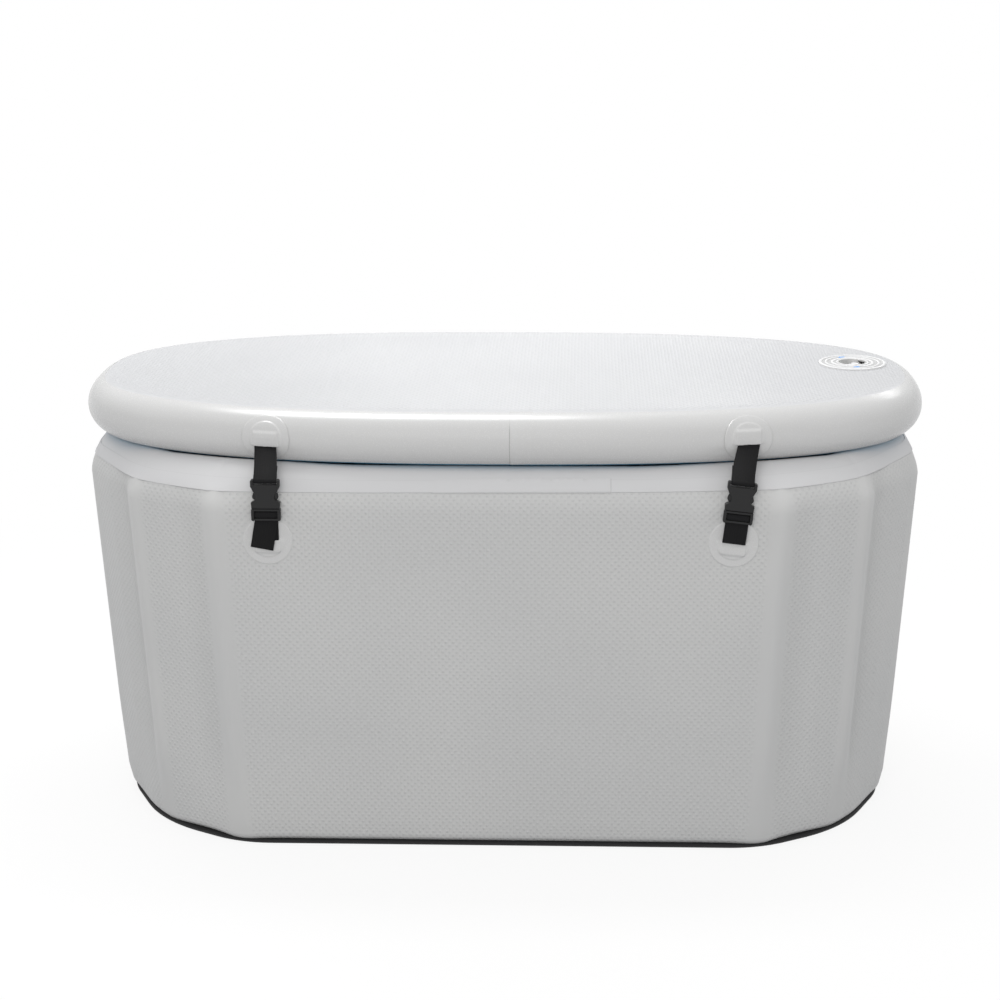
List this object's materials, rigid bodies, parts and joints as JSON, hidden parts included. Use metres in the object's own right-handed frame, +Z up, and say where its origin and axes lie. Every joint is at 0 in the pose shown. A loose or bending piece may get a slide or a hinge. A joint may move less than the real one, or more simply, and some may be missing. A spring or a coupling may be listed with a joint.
{
  "type": "cold plunge tub",
  "caption": "Oval air-filled cold plunge tub with folded upright panels, a rounded rim, a thick insulated lid held by webbing straps and side-release buckles, air valves and a drain",
  "frame": {"origin": "on the floor under the middle of the tub", "axes": "+X along the tub to the end with the lid valve, +Y to the back, +Z up"},
  "size_m": [1.55, 0.7966, 0.8143],
  "materials": {
    "panel": "satin",
    "rail": "satin",
    "tape": "gloss",
    "blue": "satin",
    "thread": "matte",
    "pad": "matte",
    "webbing": "matte",
    "buckle": "satin",
    "valve": "satin",
    "seal": "matte",
    "steel": "satin"
  },
  "bodies": {
    "tub": {"wall_core": "thread", "wall_outer_skin": "panel", "wall_inner_skin": "panel", "rim_rail": "rail", "rim_tape_outer": "tape", "rim_tape_inner": "tape", "floor_panel": "panel", "base_pad": "pad", "wall_valve_flange": "valve", "wall_valve_body": "valve", "wall_valve_spring": "steel", "drain_body": "valve", "drain_gasket": "seal", "drain_nut": "valve", "tub_patch_front_left": "panel", "tub_strap_front_left": "webbing", "buckle_male_front_left": "buckle", "tub_patch_front_right": "panel", "tub_strap_front_right": "webbing", "buckle_male_front_right": "buckle", "tub_patch_back_left": "panel", "tub_strap_back_left": "webbing", "buckle_male_back_left": "buckle", "tub_patch_back_right": "panel", "tub_strap_back_right": "webbing", "buckle_male_back_right": "buckle"},
    "lid": {"lid_core": "thread", "lid_top_skin": "panel", "lid_bottom_skin": "blue", "lid_rail": "rail", "lid_valve_flange": "valve", "lid_valve_body": "valve", "lid_valve_spring": "steel", "buckle_female_front_left": "buckle", "lid_strap_front_left": "webbing", "lid_patch_front_left": "rail", "buckle_female_front_right": "buckle", "lid_strap_front_right": "webbing", "lid_patch_front_right": "rail", "buckle_female_back_left": "buckle", "lid_strap_back_left": "webbing", "lid_patch_back_left": "rail", "buckle_female_back_right": "buckle", "lid_strap_back_right": "webbing", "lid_patch_back_right": "rail"},
    "lid_valve_pin": {"lid_valve_pin": "valve"},
    "wall_valve_pin": {"wall_valve_pin": "valve"},
    "drain_cap": {"drain_cap": "valve"},
    "release_arm_r_front_left": {"release_arm_r_front_left": "buckle"},
    "release_arm_l_front_left": {"release_arm_l_front_left": "buckle"},
    "release_arm_r_front_right": {"release_arm_r_front_right": "buckle"},
    "release_arm_l_front_right": {"release_arm_l_front_right": "buckle"},
    "release_arm_r_back_left": {"release_arm_r_back_left": "buckle"},
    "release_arm_l_back_left": {"release_arm_l_back_left": "buckle"},
    "release_arm_r_back_right": {"release_arm_r_back_right": "buckle"},
    "release_arm_l_back_right": {"release_arm_l_back_right": "buckle"}
  },
  "joints": [
    {"name": "lid_lift", "type": "slide", "parent": "tub", "child": "lid", "axis": [0, 0, 1], "range_m": [0, 0.3]},
    {"name": "press_r_front_left", "type": "hinge", "parent": "tub", "child": "release_arm_r_front_left", "pos_m": [-0.386, -0.3928, 0.6498], "axis": [0, -1, 0], "range_deg": [0, 11], "stiffness_Nm_per_rad": 0.3},
    {"name": "press_l_front_left", "type": "hinge", "parent": "tub", "child": "release_arm_l_front_left", "pos_m": [-0.412, -0.3928, 0.6498], "axis": [0, 1, 0], "range_deg": [0, 11], "stiffness_Nm_per_rad": 0.3},
    {"name": "press_r_front_right", "type": "hinge", "parent": "tub", "child": "release_arm_r_front_right", "pos_m": [0.43125, -0.3928, 0.64791], "axis": [0, -1, 0], "range_deg": [0, 11], "stiffness_Nm_per_rad": 0.3},
    {"name": "press_l_front_right", "type": "hinge", "parent": "tub", "child": "release_arm_l_front_right", "pos_m": [0.40542, -0.3928, 0.65085], "axis": [0, 1, 0], "range_deg": [0, 11], "stiffness_Nm_per_rad": 0.3},
    {"name": "press_r_back_left", "type": "hinge", "parent": "tub", "child": "release_arm_r_back_left", "pos_m": [-0.418, 0.3928, 0.6498], "axis": [0, 1, 0], "range_deg": [0, 11], "stiffness_Nm_per_rad": 0.3},
    {"name": "press_l_back_left", "type": "hinge", "parent": "tub", "child": "release_arm_l_back_left", "pos_m": [-0.392, 0.3928, 0.6498], "axis": [0, -1, 0], "range_deg": [0, 11], "stiffness_Nm_per_rad": 0.3},
    {"name": "press_r_back_right", "type": "hinge", "parent": "tub", "child": "release_arm_r_back_right", "pos_m": [0.392, 0.3928, 0.6498], "axis": [0, 1, 0], "range_deg": [0, 11], "stiffness_Nm_per_rad": 0.3},
    {"name": "press_l_back_right", "type": "hinge", "parent": "tub", "child": "release_arm_l_back_right", "pos_m": [0.418, 0.3928, 0.6498], "axis": [0, -1, 0], "range_deg": [0, 11], "stiffness_Nm_per_rad": 0.3},
    {"name": "lid_valve_push", "type": "slide", "parent": "lid", "child": "lid_valve_pin", "axis": [0, 0, -1], "range_m": [0, 0.005], "stiffness_N_per_m": 600, "deforming": ["lid_valve_spring"]},
    {"name": "wall_valve_push", "type": "slide", "parent": "tub", "child": "wall_valve_pin", "axis": [0, -0.9993, 0.0386], "range_m": [0, 0.005], "stiffness_N_per_m": 600, "deforming": ["wall_valve_spring"]},
    {"name": "drain_cap_turn", "type": "hinge", "parent": "tub", "child": "drain_cap", "pos_m": [-0.2, 0.3636, 0.1083], "axis": [0, 0.9993, -0.0386], "range_deg": [0, 720]}
  ]
}
